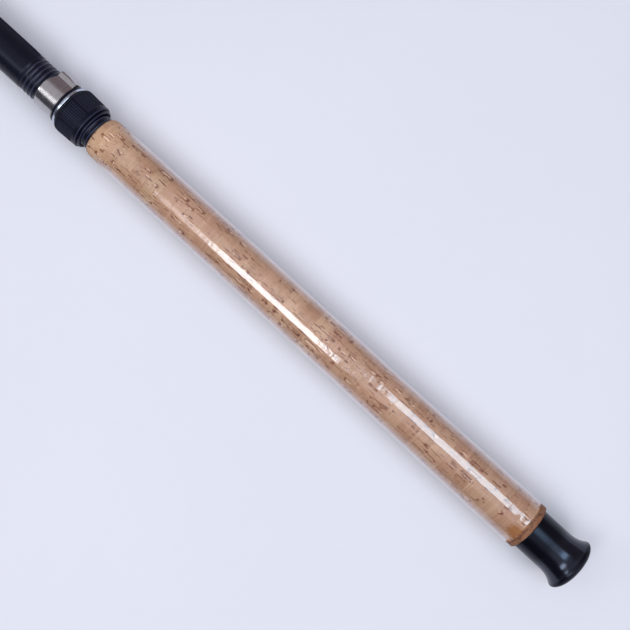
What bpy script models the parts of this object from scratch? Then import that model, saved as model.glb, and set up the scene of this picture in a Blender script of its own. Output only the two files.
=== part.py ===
"""A telescopic carp rod, collapsed for carrying.

The rod is drawn standing on its butt: its axis is the local Z axis, the reel side faces local +Y.
The root empty then lays it down, so that in world space it runs along +X with its reel side
facing -Y, as it lies on a floor. The origin is the centre of the butt cap's end. Metres throughout.
"""

import math

import bmesh
import bpy

MM = 0.001

# Fits between pieces
SEAT_GAP = 0.3 * MM        # between pieces that are glued, pushed or crimped together
SLIDE_GAP = 0.2 * MM       # around the seat body, for the pieces that travel on it
MERGE = 0.00001            # merge distance of the turned profiles
CUT_MARGIN = 5.0 * MM      # how far a cutter runs past what it cuts

# Rubber butt cap
CAP_LENGTH = 39.7 * MM
CAP_FLOOR = 3.0 * MM
CAP_NECK_RADIUS = 14.95 * MM
CAP_FLARE_RADIUS = 18.9 * MM
CAP_FLARE_HEIGHT = 5.0 * MM       # where the cap is widest
CAP_FLARE_LENGTH = 15.3 * MM      # from the widest ring to the straight neck
CAP_FLARE_POWER = 3.1             # how the bell gathers speed towards its widest ring
CAP_FACE_RADIUS = 10.0 * MM       # flat disc at the very end
CAP_LIP = 0.8 * MM
CAP_FLARE_STATIONS = 6            # straight lengths that follow the flare

# Plug and buffer in the butt end of the blank
PLUG_FLANGE = 2.0 * MM
PLUG_LENGTH = 15.0 * MM
BUFFER_LENGTH = 4.0 * MM

# Butt blank, the outermost carbon tube
BLANK_BUTT_RADIUS = 10.5 * MM
BLANK_MOUTH_RADIUS = 9.8 * MM
BLANK_WALL = 1.0 * MM
BLANK_MOUTH = 785.0 * MM

# Cork grip, glued up from rings and turned
RING_COUNT = 32
RING_LENGTH = 11.65 * MM
GRIP_BOTTOM_RADIUS = 16.95 * MM
GRIP_WAIST_RADIUS = 15.85 * MM
GRIP_TOP_RADIUS = 15.05 * MM
GRIP_WAIST = 0.43                 # share of the grip's length below the bend in its taper
GRIP_TOP_BEND = 1.5               # how the taper above the bend speeds up, 1 for a straight one
GRIP_SHOULDER = 7.0 * MM
GRIP_END_RADIUS = 13.2 * MM

# Clear shrink film over the cork
FILM_THICKNESS = 0.2 * MM
FILM_BARE_BOTTOM = 5.0 * MM       # cork left bare below the film
FILM_BARE_TOP = 0.6 * MM          # and above it, down the shoulder
FILM_STATIONS = 5                 # straight lengths that follow the cork's taper

# Reel seat body
SEAT_RADIUS = 13.0 * MM
SEAT_FRONT_LIP = 3.0 * MM
THREAD_PITCH = 3.3 * MM
THREAD_DEPTH = 0.6 * MM
THREAD_LENGTH = 63.4 * MM
THREAD_CREST = 0.7 * MM
THREAD_FOOT = 2.2 * MM
THREAD_RELIEF = 0.05 * MM         # crests lie this far under the smooth body
BED_HALF_WIDTH = 8.6 * MM
BED_RISE = 0.3 * MM               # the flat face for the reel foot stands this far over the round body
BED_RAMP = 5.5 * MM
BED_RAMP_DROP = 0.5 * MM
BED_STEP = 0.2 * MM               # under the fixed hood the bed lies this much lower
BED_STEP_LENGTH = 0.6 * MM
BED_EDGE = 0.9 * MM
BED_SUNK = 5.0 * MM               # how deep the bed's block reaches into the round body
BED_THREAD_GAP = 4.7 * MM         # the full bed starts this far in front of the thread

# Steel hoods
HOOD_SHEET = 0.8 * MM
HOOD_LENGTH = 15.5 * MM
HOOD_ROOF_FOOT = 0.5 * MM         # the roof springs this far over the seat's radius
HOOD_ROOF_RISE = 3.5 * MM
HOOD_MOUTH_SETBACK = 5.5 * MM
HOOD_TAIL_RISE = 0.35             # roof height left at the hood's closed end, as a share
HOOD_TAIL_LENGTH = 8.5 * MM
REEL_FOOT_SPAN = 83.0 * MM        # between the two hoods as drawn
NUT_STANDOFF = 5.2 * MM           # thread that shows between the cork and the lock nut

# Collar between the moving hood and the lock nut
COLLAR_LENGTH = 1.75 * MM
COLLAR_HEIGHT = 1.7 * MM          # over the seat's radius, as are the heights of the ring and nut
COLLAR_SPIGOT_WALL = 0.6 * MM
COLLAR_SPIGOT_LENGTH = 4.0 * MM
COLLAR_SNAP_RISE = 0.45 * MM
COLLAR_SNAP_LENGTH = 0.8 * MM

# Bright ring and ribbed lock nut
TRIM_LENGTH = 2.55 * MM
TRIM_HEIGHT = 2.6 * MM
TRIM_EDGE = 0.7 * MM
NUT_LENGTH = 21.2 * MM
NUT_HEIGHT = 4.1 * MM
NUT_FRONT_HEIGHT = 2.6 * MM
NUT_SHOULDER = 3.2 * MM
NUT_REAR_HEIGHT = 3.65 * MM
NUT_BAND_HEIGHT = 3.5 * MM
NUT_BAND_LENGTH = 4.8 * MM
NUT_LIP_HEIGHT = 2.1 * MM
NUT_LIP_LENGTH = 2.6 * MM
NUT_MOUTH_HEIGHT = 0.8 * MM
NUT_MOUTH_DEPTH = 1.6 * MM
RIB_GROUPS = 7
RIBS_IN_GROUP = 9
RIB_DEPTH = 0.4 * MM

# Foregrip and its trim ring
FOREGRIP_LENGTH = 70.0 * MM
FOREGRIP_REAR_HEIGHT = 1.2 * MM    # over the seat's radius
FOREGRIP_FRONT_RADIUS = 12.4 * MM
FOREGRIP_ROUND = 2.0 * MM
CHECK_LENGTH = 3.0 * MM
CHECK_REAR_RADIUS = 12.0 * MM
CHECK_FRONT_RADIUS = 10.9 * MM

# The sections that slide out
SECTION_2_BUTT_RADIUS = 8.5 * MM
SECTION_2_MOUTH_RADIUS = 7.9 * MM
SECTION_2_WALL = 0.9 * MM
SECTION_3_BUTT_RADIUS = 6.65 * MM
SECTION_3_MOUTH_RADIUS = 6.0 * MM
SECTION_3_WALL = 0.8 * MM
TIP_BUTT_RADIUS = 4.9 * MM
TIP_END_RADIUS = 1.2 * MM
TIP_WALL = 0.8 * MM
TIP_BORE_SHARE = 0.8

# Line guides: the collar's length and wall, the height of the ring's centre over the rod's axis,
# the radius of the rim and of the ring's bore
GUIDE_1 = dict(collar=20.0 * MM, wall=1.0 * MM, height=31.0 * MM, radius=15.5 * MM, bore=10.8 * MM)
GUIDE_2 = dict(collar=18.0 * MM, wall=1.0 * MM, height=23.0 * MM, radius=10.6 * MM, bore=7.2 * MM)
GUIDE_3 = dict(collar=16.0 * MM, wall=0.9 * MM, height=18.0 * MM, radius=8.2 * MM, bore=5.2 * MM)
FLOAT_GUIDE = dict(collar=10.0 * MM, wall=0.7 * MM, height=12.4 * MM, radius=6.4 * MM, bore=3.7 * MM)
TIP_GUIDE = dict(collar=12.0 * MM, wall=0.6 * MM, height=9.2 * MM, radius=5.8 * MM, bore=3.4 * MM)
GUIDE_RING_WIDTH = 3.0 * MM
GUIDE_FRAME_RIM = 1.3 * MM        # radial thickness of the metal rim round the ring
GUIDE_LEG_RADIUS = 0.9 * MM
GUIDE_LEG_FOOT = 50.0             # degrees round the collar from the reel side to a side leg's foot
GUIDE_LEG_HEAD = 35.0             # degrees round the rim from its nearest point to a side leg's head
FLOAT_BORE_RADIUS = 3.2 * MM      # where the tapering tip section wedges the floating guide
FLOAT_FLANGE = 1.2 * MM           # rear flange that lands on the mouth of the third section
TIP_TUBE_OVERHANG = 2.0 * MM      # closed end of the tip guide's tube past the blank

# Facets
STEPS_MID = 32
STEPS_SMALL = 24
STEPS_THREAD = 20
STEPS_FINE = 16
HOOD_ROUND_STEPS = 24
HOOD_ROOF_STEPS = 10

# Places along the rod, from its butt end
GRIP_BOTTOM = CAP_LENGTH + SEAT_GAP
RING_PITCH = RING_LENGTH + SEAT_GAP
GRIP_LENGTH = RING_COUNT * RING_PITCH - SEAT_GAP
GRIP_TOP = GRIP_BOTTOM + GRIP_LENGTH
SEAT_REAR = GRIP_TOP + SEAT_GAP
THREAD_END = SEAT_REAR + THREAD_LENGTH
BED_START = THREAD_END + BED_THREAD_GAP
NUT_REAR = SEAT_REAR + NUT_STANDOFF
NUT_FRONT = NUT_REAR + NUT_LENGTH
TRIM_REAR = NUT_FRONT + SEAT_GAP
COLLAR_REAR = TRIM_REAR + TRIM_LENGTH + SEAT_GAP
HOOD_REAR = COLLAR_REAR + COLLAR_LENGTH + SEAT_GAP
HOOD_FRONT = HOOD_REAR + HOOD_LENGTH
FIXED_HOOD_REAR = HOOD_FRONT + REEL_FOOT_SPAN
FIXED_HOOD_FRONT = FIXED_HOOD_REAR + HOOD_LENGTH
SEAT_FRONT = FIXED_HOOD_FRONT + SEAT_GAP + SEAT_FRONT_LIP
SEAT_LENGTH = SEAT_FRONT - SEAT_REAR
FOREGRIP_REAR = SEAT_FRONT + SEAT_GAP
CHECK_REAR = FOREGRIP_REAR + FOREGRIP_LENGTH + SEAT_GAP
PLUG_REAR = CAP_FLOOR + SEAT_GAP
BLANK_REAR = PLUG_REAR + PLUG_FLANGE + SEAT_GAP
BUFFER_REAR = BLANK_REAR + PLUG_LENGTH + SEAT_GAP
SECTION_REAR = BUFFER_REAR + BUFFER_LENGTH + SEAT_GAP
GUIDE_2_REAR = BLANK_MOUTH + SEAT_GAP
SECTION_2_MOUTH = GUIDE_2_REAR + GUIDE_2["collar"]
GUIDE_3_REAR = SECTION_2_MOUTH + SEAT_GAP
SECTION_3_MOUTH = GUIDE_3_REAR + GUIDE_3["collar"]
FLOAT_REAR = SECTION_3_MOUTH + SEAT_GAP
TIP_TUBE_REAR = FLOAT_REAR + FLOAT_GUIDE["collar"] + SEAT_GAP
TIP_TUBE_END = TIP_TUBE_REAR + TIP_GUIDE["collar"]
TIP_END = TIP_TUBE_END - TIP_TUBE_OVERHANG - SEAT_GAP

# Radii and heights that follow from the seat and the fits
BED_HEIGHT = SEAT_RADIUS + BED_RISE
HOOD_ROOF_BASE = SEAT_RADIUS + HOOD_ROOF_FOOT
COLLAR_RADIUS = SEAT_RADIUS + COLLAR_HEIGHT
TRIM_RADIUS = SEAT_RADIUS + TRIM_HEIGHT
NUT_RADIUS = SEAT_RADIUS + NUT_HEIGHT
NUT_FRONT_RADIUS = SEAT_RADIUS + NUT_FRONT_HEIGHT
NUT_REAR_RADIUS = SEAT_RADIUS + NUT_REAR_HEIGHT
NUT_BAND_RADIUS = SEAT_RADIUS + NUT_BAND_HEIGHT
NUT_LIP_RADIUS = SEAT_RADIUS + NUT_LIP_HEIGHT
NUT_MOUTH_RADIUS = SEAT_RADIUS + NUT_MOUTH_HEIGHT
FOREGRIP_REAR_RADIUS = SEAT_RADIUS + FOREGRIP_REAR_HEIGHT
HOOD_RADIUS = SEAT_RADIUS + SLIDE_GAP + HOOD_SHEET
HOOD_HALF_WIDTH = BED_HALF_WIDTH + SLIDE_GAP + HOOD_SHEET
TRAVEL_BORE = SEAT_RADIUS + SLIDE_GAP
SPIGOT_RADIUS = TRAVEL_BORE + COLLAR_SPIGOT_WALL
SNAP_RADIUS = SPIGOT_RADIUS + COLLAR_SNAP_RISE
TRIM_BORE = SPIGOT_RADIUS + SLIDE_GAP
NUT_POCKET_RADIUS = SNAP_RADIUS + SLIDE_GAP


def blend(a, b, share):
    """Straight blend from a to b."""
    return a + (b - a) * share


def ease(share):
    """Smooth step from 0 to 1, level at both ends."""
    share = min(max(share, 0.0), 1.0)
    return 0.5 - 0.5 * math.cos(math.pi * share)


def blank_radius(z):
    """Outer radius of the tapering butt blank."""
    share = (z - BLANK_REAR) / (BLANK_MOUTH - BLANK_REAR)
    return blend(BLANK_BUTT_RADIUS, BLANK_MOUTH_RADIUS, share)


def cork_radius(z):
    """Outer radius of the turned cork, without the rounded shoulder at its top."""
    waist = GRIP_BOTTOM + GRIP_WAIST * GRIP_LENGTH
    if z < waist:
        share = (z - GRIP_BOTTOM) / (waist - GRIP_BOTTOM)
        return blend(GRIP_BOTTOM_RADIUS, GRIP_WAIST_RADIUS, ease(share))
    share = (z - waist) / (GRIP_TOP - waist)
    return blend(GRIP_WAIST_RADIUS, GRIP_TOP_RADIUS, share ** GRIP_TOP_BEND)


def arc(centre_r, centre_z, size_r, size_z, start, end, count):
    """Points of a quarter or part ellipse, angles in degrees from the outward radius."""
    points = []
    for i in range(count + 1):
        angle = math.radians(blend(start, end, i / count))
        points.append((centre_r + size_r * math.cos(angle), centre_z + size_z * math.sin(angle)))
    return points


def new_collection(name):
    collection = bpy.data.collections.new(name)
    bpy.context.scene.collection.children.link(collection)
    return collection


def new_material(name, colour, roughness, metallic=0.0, alpha=1.0):
    material = bpy.data.materials.new(name)
    material.use_nodes = True
    shader = material.node_tree.nodes["Principled BSDF"]
    shader.inputs["Base Color"].default_value = (*colour, 1.0)
    shader.inputs["Roughness"].default_value = roughness
    shader.inputs["Metallic"].default_value = metallic
    shader.inputs["Alpha"].default_value = alpha
    material.diffuse_color = (*colour, alpha)
    return material


def new_object(name, mesh, material, parent, z=0.0, collection=None):
    """Links a named object at height z on its parent's axis."""
    obj = bpy.data.objects.new(name, mesh)
    (collection or parts).objects.link(obj)
    if material is not None:
        mesh.materials.append(material)
    obj.parent = parent
    obj.location = (0.0, 0.0, z)
    return obj


def turned_mesh(name, profile, closed):
    """Profile points (radius, z) as edges in the XZ plane, outer side first, top to bottom."""
    mesh = bpy.data.meshes.new(name)
    bm = bmesh.new()
    verts = [bm.verts.new((r, 0.0, z)) for r, z in profile]
    for a, b in zip(verts, verts[1:]):
        bm.edges.new((a, b))
    if closed:
        bm.edges.new((verts[-1], verts[0]))
    bm.to_mesh(mesh)
    bm.free()
    return mesh


def turned(name, profile, material, parent, z=0.0, steps=STEPS_MID, closed=True, collection=None):
    """A turned piece: a profile with a Screw modifier about Z."""
    obj = new_object(name, turned_mesh(name, profile, closed), material, parent, z, collection)
    screw = obj.modifiers.new("Turn", "SCREW")
    screw.axis = "Z"
    screw.angle = 2 * math.pi
    screw.steps = round(steps)
    screw.render_steps = round(steps)
    screw.use_merge_vertices = True
    screw.merge_threshold = MERGE
    screw.use_smooth_shade = True
    return obj


def hide_cutter(obj):
    obj.hide_render = True
    obj.display_type = "WIRE"


def add_boolean(obj, other, operation):
    """Leaves an exact Boolean on obj; the other object is only a tool."""
    boolean = obj.modifiers.new(f"{operation.title()} {other.name}", "BOOLEAN")
    boolean.operation = operation
    boolean.solver = "EXACT"
    boolean.object = other
    hide_cutter(other)


def tube(rear_z, front_z, rear_radius, front_radius, rear_bore, front_bore):
    """Closed profile of a straight or tapering tube, with z counted from its own rear end."""
    length = front_z - rear_z
    return [(front_radius, length), (rear_radius, 0.0), (rear_bore, 0.0), (front_bore, length)]


def evaluated_mesh(obj, name):
    """The object's mesh with its modifiers applied, in its own space."""
    depsgraph = bpy.context.evaluated_depsgraph_get()
    return bpy.data.meshes.new_from_object(obj.evaluated_get(depsgraph), depsgraph=depsgraph)


def cutter_bar(name, radius, low, high, parent, z, steps):
    """A plain round bar between two heights, to cut a bore with."""
    profile = [(0.0, high), (radius, high), (radius, low), (0.0, low)]
    return turned(name, profile, None, parent, z, steps, closed=False, collection=cutters)


def wire(name, points, radius, parent, z, collection):
    """A round wire through points, made a closed mesh so that it can be joined."""
    curve = bpy.data.curves.new(name, "CURVE")
    curve.dimensions = "3D"
    curve.bevel_depth = radius
    curve.bevel_resolution = 2
    curve.use_fill_caps = True
    spline = curve.splines.new("POLY")
    spline.points.add(len(points) - 1)
    for point, place in zip(spline.points, points):
        point.co = (*place, 1.0)
    scratch = bpy.data.objects.new(name + "_curve", curve)
    collection.objects.link(scratch)
    mesh = evaluated_mesh(scratch, name)
    bpy.data.objects.remove(scratch)
    bm = bmesh.new()
    bm.from_mesh(mesh)
    bmesh.ops.remove_doubles(bm, verts=bm.verts, dist=MERGE)
    bmesh.ops.recalc_face_normals(bm, faces=bm.faces)
    bm.to_mesh(mesh)
    bm.free()
    return new_object(name, mesh, None, parent, z, collection)


def make_butt_cap(parent, material):
    """Flared rubber cap: a cup that pushes over the end of the blank."""
    bore = BLANK_BUTT_RADIUS + SEAT_GAP
    profile = [(0.0, CAP_FLOOR), (bore, CAP_FLOOR), (bore, CAP_LENGTH)]
    profile += arc(CAP_NECK_RADIUS - CAP_LIP, CAP_LENGTH - CAP_LIP, CAP_LIP, CAP_LIP, 90, 0, 2)
    flare_top = CAP_FLARE_HEIGHT + CAP_FLARE_LENGTH
    for i in range(CAP_FLARE_STATIONS):
        share = i / CAP_FLARE_STATIONS
        radius = blend(CAP_NECK_RADIUS, CAP_FLARE_RADIUS, share ** CAP_FLARE_POWER)
        profile.append((radius, flare_top - share * CAP_FLARE_LENGTH))
    dome = CAP_FLARE_RADIUS - CAP_FACE_RADIUS
    profile += arc(CAP_FACE_RADIUS, CAP_FLARE_HEIGHT, dome, CAP_FLARE_HEIGHT, 0, -90, 6)
    profile.append((0.0, 0.0))
    return turned("butt_cap", profile, material, parent, 0.0, STEPS_MID, closed=False)


def make_plug(parent, plug_material, buffer_material):
    """Plug that closes the blank, and the soft buffer the sections drop onto."""
    shank = BLANK_BUTT_RADIUS - BLANK_WALL - SEAT_GAP
    top = PLUG_FLANGE + SEAT_GAP + PLUG_LENGTH
    turned(
        "butt_plug",
        [(0.0, top), (shank - CAP_LIP, top), (shank, top - CAP_LIP), (shank, PLUG_FLANGE),
         (BLANK_BUTT_RADIUS, PLUG_FLANGE), (BLANK_BUTT_RADIUS, 0.0), (0.0, 0.0)],
        plug_material, parent, PLUG_REAR, STEPS_SMALL, closed=False,
    )
    turned(
        "plug_buffer",
        [(0.0, BUFFER_LENGTH), (shank - CAP_LIP, BUFFER_LENGTH), (shank - CAP_LIP, 0.0), (0.0, 0.0)],
        buffer_material, parent, BUFFER_REAR, STEPS_SMALL, closed=False,
    )


def make_butt_blank(parent, material):
    profile = tube(BLANK_REAR, BLANK_MOUTH, BLANK_BUTT_RADIUS, BLANK_MOUTH_RADIUS,
                   BLANK_BUTT_RADIUS - BLANK_WALL, BLANK_MOUTH_RADIUS - BLANK_WALL)
    return turned("butt_blank", profile, material, parent, BLANK_REAR, STEPS_MID)


def make_cork_rings(parent, material):
    """Each glued ring of the grip. The end rings show, so they are rounder than the ones between."""
    for index in range(RING_COUNT):
        rear = GRIP_BOTTOM + index * RING_PITCH
        front = rear + RING_LENGTH
        bore = blank_radius(rear) + SEAT_GAP
        outer = [(cork_radius(front), RING_LENGTH), (cork_radius(rear), 0.0)]
        if index == RING_COUNT - 1:
            fall = cork_radius(front) - GRIP_END_RADIUS
            foot = RING_LENGTH - GRIP_SHOULDER
            outer = arc(GRIP_END_RADIUS, foot, fall, GRIP_SHOULDER, 90, 0, 4) + outer[1:]
        profile = outer + [(bore, 0.0), (bore, RING_LENGTH)]
        steps = STEPS_MID if index in (0, RING_COUNT - 1) else STEPS_FINE
        turned(f"cork_ring_{index + 1:02d}", profile, material, parent, rear, steps)


def make_film(parent, material):
    """Clear shrink film, a thin sleeve that follows the cork."""
    rear = GRIP_BOTTOM + FILM_BARE_BOTTOM
    front = GRIP_TOP - GRIP_SHOULDER - FILM_BARE_TOP
    stations = [blend(front, rear, i / FILM_STATIONS) for i in range(FILM_STATIONS + 1)]
    inside = [(cork_radius(z) + SEAT_GAP, z - rear) for z in stations]
    outside = [(r + FILM_THICKNESS, z) for r, z in inside]
    return turned("grip_film", outside + inside[::-1], material, parent, rear, STEPS_MID)


def make_thread(parent, collection):
    """Threaded bar: one pitch of its outline is swept along the helix, and flat ends are cut on it."""
    crest = SEAT_RADIUS - THREAD_RELIEF
    root = crest - THREAD_DEPTH
    flank = (THREAD_FOOT - THREAD_CREST) / 2
    outline = [(root, 0.0), (crest, flank), (crest, flank + THREAD_CREST),
               (root, THREAD_FOOT), (root, THREAD_PITCH)]
    turns = math.ceil(THREAD_LENGTH / THREAD_PITCH) + 2
    mesh = bpy.data.meshes.new("thread_bar")
    bm = bmesh.new()
    verts = [bm.verts.new((r, 0.0, z - 1.5 * THREAD_PITCH)) for r, z in outline]
    edges = [bm.edges.new(pair) for pair in zip(verts, verts[1:])]
    bmesh.ops.spin(
        bm, geom=verts + edges, cent=(0.0, 0.0, 0.0), axis=(0.0, 0.0, 1.0),
        dvec=(0.0, 0.0, THREAD_PITCH / STEPS_THREAD), angle=2 * math.pi * turns, steps=STEPS_THREAD * turns,
    )
    bmesh.ops.remove_doubles(bm, verts=bm.verts, dist=MERGE)
    for height, side in ((0.0, -1.0), (THREAD_LENGTH, 1.0)):
        everything = bm.verts[:] + bm.edges[:] + bm.faces[:]
        bmesh.ops.bisect_plane(
            bm, geom=everything, dist=MERGE / 10, plane_co=(0.0, 0.0, height),
            plane_no=(0.0, 0.0, side), clear_outer=True,
        )
        rim = [e for e in bm.edges if e.is_boundary and abs(e.verts[0].co.z - height) < MERGE]
        bmesh.ops.holes_fill(bm, edges=rim)
    bmesh.ops.recalc_face_normals(bm, faces=bm.faces)
    bm.to_mesh(mesh)
    bm.free()
    return new_object("thread_bar", mesh, None, parent, SEAT_REAR, collection)


def make_bed(parent, collection):
    """Flat bed for the reel foot: a long block with a ramp behind and a step down at the fixed hood."""
    rear = BED_START - BED_RAMP
    length = FIXED_HOOD_FRONT - rear
    step = FIXED_HOOD_REAR - SEAT_GAP - rear
    foot = SEAT_RADIUS - BED_SUNK
    mesh = bpy.data.meshes.new("reel_bed")
    bm = bmesh.new()
    bmesh.ops.create_cube(bm, size=1.0)
    for vert in bm.verts:
        at_rear = vert.co.z < 0
        at_top = vert.co.y > 0
        vert.co.x *= 2 * BED_HALF_WIDTH
        vert.co.y = BED_HEIGHT if at_top else foot
        vert.co.z = 0.0 if at_rear else length
    for height in (BED_RAMP, step - BED_STEP_LENGTH, step):
        everything = bm.verts[:] + bm.edges[:] + bm.faces[:]
        bmesh.ops.bisect_plane(
            bm, geom=everything, plane_co=(0.0, 0.0, height), plane_no=(0.0, 0.0, 1.0),
        )
    for vert in bm.verts:
        if vert.co.y < foot + MERGE:
            continue
        if vert.co.z < BED_RAMP / 2:
            vert.co.y -= BED_RAMP_DROP
        elif vert.co.z > step - MERGE:
            vert.co.y -= BED_STEP
    bm.to_mesh(mesh)
    bm.free()
    obj = new_object("reel_bed", mesh, None, parent, rear, collection)
    bevel = obj.modifiers.new("Edges", "BEVEL")
    bevel.width = BED_EDGE
    bevel.segments = 2
    bevel.limit_method = "ANGLE"
    return obj


def make_seat_body(parent, material):
    """Moulded tube: threaded behind, smooth in front, with the flat bed on the reel side."""
    thread_top = THREAD_END - SEAT_REAR
    lap = thread_top - THREAD_PITCH / 2
    profile = [(0.0, SEAT_LENGTH), (HOOD_RADIUS, SEAT_LENGTH), (HOOD_RADIUS, SEAT_LENGTH - SEAT_FRONT_LIP),
               (SEAT_RADIUS, SEAT_LENGTH - SEAT_FRONT_LIP), (SEAT_RADIUS, thread_top),
               (SEAT_RADIUS - THREAD_DEPTH, lap), (0.0, lap)]
    body = turned("seat_body", profile, material, parent, SEAT_REAR, 2 * STEPS_THREAD, closed=False)
    bore_radius = blank_radius(SEAT_REAR) + SEAT_GAP
    top = SEAT_LENGTH + CUT_MARGIN
    bore = cutter_bar("seat_bore", bore_radius, -CUT_MARGIN, top, parent, SEAT_REAR, STEPS_MID)
    add_boolean(body, make_bed(parent, cutters), "UNION")
    add_boolean(body, make_thread(parent, cutters), "UNION")
    add_boolean(body, bore, "DIFFERENCE")
    return body


def hood_outline():
    """Section of a hood: round under the rod, straight beside the bed, arched over the reel foot.

    Gives (x, y, roof), where roof runs 0 to 1 to 0 across the arch and is 0 elsewhere.
    """
    meet = math.asin(HOOD_HALF_WIDTH / HOOD_RADIUS)
    points = []
    for i in range(HOOD_ROUND_STEPS + 1):
        angle = blend(meet, 2 * math.pi - meet, i / HOOD_ROUND_STEPS)
        points.append((HOOD_RADIUS * math.sin(angle), HOOD_RADIUS * math.cos(angle), 0.0))
    for i in range(HOOD_ROOF_STEPS + 1):
        turn = math.pi * i / HOOD_ROOF_STEPS
        share = 1 - abs(1 - 2 * i / HOOD_ROOF_STEPS)
        y = HOOD_ROOF_BASE + HOOD_ROOF_RISE * math.sin(turn)
        points.append((-HOOD_HALF_WIDTH * math.cos(turn), y, share))
    return points


def make_hood(name, rear, facing, material, parent):
    """Bent sheet sleeve with an arched pocket, its mouth towards facing (+1 tip, -1 butt)."""
    rows = ((0.0, HOOD_TAIL_RISE), (HOOD_TAIL_LENGTH, 1.0), (None, 1.0))
    outline = hood_outline()
    mesh = bpy.data.meshes.new(name)
    bm = bmesh.new()
    rings = []
    for height, rise in rows:
        ring = []
        for x, y, roof in outline:
            z = HOOD_LENGTH - HOOD_MOUTH_SETBACK * roof if height is None else height
            lift = HOOD_ROOF_BASE + (y - HOOD_ROOF_BASE) * rise if y > HOOD_ROOF_BASE else y
            ring.append(bm.verts.new((x * facing, lift, z if facing > 0 else HOOD_LENGTH - z)))
        rings.append(ring)
    for low, high in zip(rings, rings[1:]):
        for i in range(len(outline)):
            j = (i + 1) % len(outline)
            bm.faces.new((low[i], low[j], high[j], high[i]))
    bmesh.ops.recalc_face_normals(bm, faces=bm.faces)
    bm.to_mesh(mesh)
    bm.free()
    obj = new_object(name, mesh, material, parent, rear)
    obj.data.shade_smooth()
    solidify = obj.modifiers.new("Sheet", "SOLIDIFY")
    solidify.thickness = HOOD_SHEET
    solidify.offset = -1.0
    solidify.use_even_offset = True
    solidify.use_rim = True
    return obj


def make_collar(parent, material):
    """Black collar behind the moving hood, with the spigot that snaps into the lock nut."""
    spigot = COLLAR_SPIGOT_LENGTH
    top = spigot + COLLAR_LENGTH
    profile = [(COLLAR_RADIUS, top), (COLLAR_RADIUS, spigot), (SPIGOT_RADIUS, spigot),
               (SPIGOT_RADIUS, COLLAR_SNAP_LENGTH), (SNAP_RADIUS, COLLAR_SNAP_LENGTH),
               (SPIGOT_RADIUS, 0.0), (TRAVEL_BORE, 0.0), (TRAVEL_BORE, top)]
    return turned("hood_collar", profile, material, parent, COLLAR_REAR - spigot, STEPS_MID)


def make_trim_ring(parent, material):
    """Bright ring on the front of the lock nut."""
    edge = TRIM_EDGE
    profile = [(TRIM_RADIUS - edge, TRIM_LENGTH), (TRIM_RADIUS, TRIM_LENGTH - edge), (TRIM_RADIUS, edge),
               (TRIM_RADIUS - edge, 0.0), (TRIM_BORE, 0.0), (TRIM_BORE, TRIM_LENGTH)]
    return turned("nut_trim_ring", profile, material, parent, TRIM_REAR, STEPS_MID)


def make_lock_nut(parent, material):
    """Lock nut: turned, then fluted in groups by sinking every other column of its ribbed band."""
    pocket_bottom = COLLAR_REAR - COLLAR_SPIGOT_LENGTH - SLIDE_GAP - NUT_REAR
    band_top = NUT_LIP_LENGTH + NUT_BAND_LENGTH
    widest = NUT_LENGTH - NUT_SHOULDER
    rise = NUT_RADIUS - NUT_FRONT_RADIUS
    profile = [(0.0, NUT_LENGTH)] + arc(NUT_FRONT_RADIUS, widest, rise, NUT_SHOULDER, 90, 0, 3)
    profile += [(NUT_REAR_RADIUS, band_top + RIB_DEPTH), (NUT_BAND_RADIUS, band_top),
                (NUT_BAND_RADIUS, NUT_LIP_LENGTH), (NUT_LIP_RADIUS, NUT_LIP_LENGTH - RIB_DEPTH),
                (NUT_LIP_RADIUS, 0.0), (0.0, 0.0)]
    columns = 2 * (RIBS_IN_GROUP + 1)
    steps = RIB_GROUPS * columns
    blank_nut = turned("nut_blank", profile, None, parent, NUT_REAR, steps, closed=False, collection=cutters)
    hide_cutter(blank_nut)
    mesh = evaluated_mesh(blank_nut, "lock_nut")
    mesh.name = "lock_nut"
    bm = bmesh.new()
    bm.from_mesh(mesh)
    for vert in bm.verts:
        radius = math.hypot(vert.co.x, vert.co.y)
        column = round(math.atan2(vert.co.y, vert.co.x) / (2 * math.pi) * steps) % columns
        ribbed = band_top + RIB_DEPTH / 2 < vert.co.z < NUT_LENGTH - MERGE
        if ribbed and column % 2 and column < columns - 1:
            vert.co.x *= 1 - RIB_DEPTH / radius
            vert.co.y *= 1 - RIB_DEPTH / radius
    bm.to_mesh(mesh)
    bm.free()
    obj = new_object("lock_nut", mesh, material, parent, NUT_REAR)
    bore = [(0.0, NUT_LENGTH + CUT_MARGIN), (NUT_POCKET_RADIUS, NUT_LENGTH + CUT_MARGIN),
            (NUT_POCKET_RADIUS, pocket_bottom), (TRAVEL_BORE, pocket_bottom), (TRAVEL_BORE, NUT_MOUTH_DEPTH),
            (NUT_MOUTH_RADIUS, 0.0), (NUT_MOUTH_RADIUS, -CUT_MARGIN), (0.0, -CUT_MARGIN)]
    cutter = turned("nut_bore", bore, None, parent, NUT_REAR, STEPS_MID, closed=False, collection=cutters)
    add_boolean(obj, cutter, "DIFFERENCE")
    mesh.set_sharp_from_angle(angle=math.radians(25))
    return obj


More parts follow.
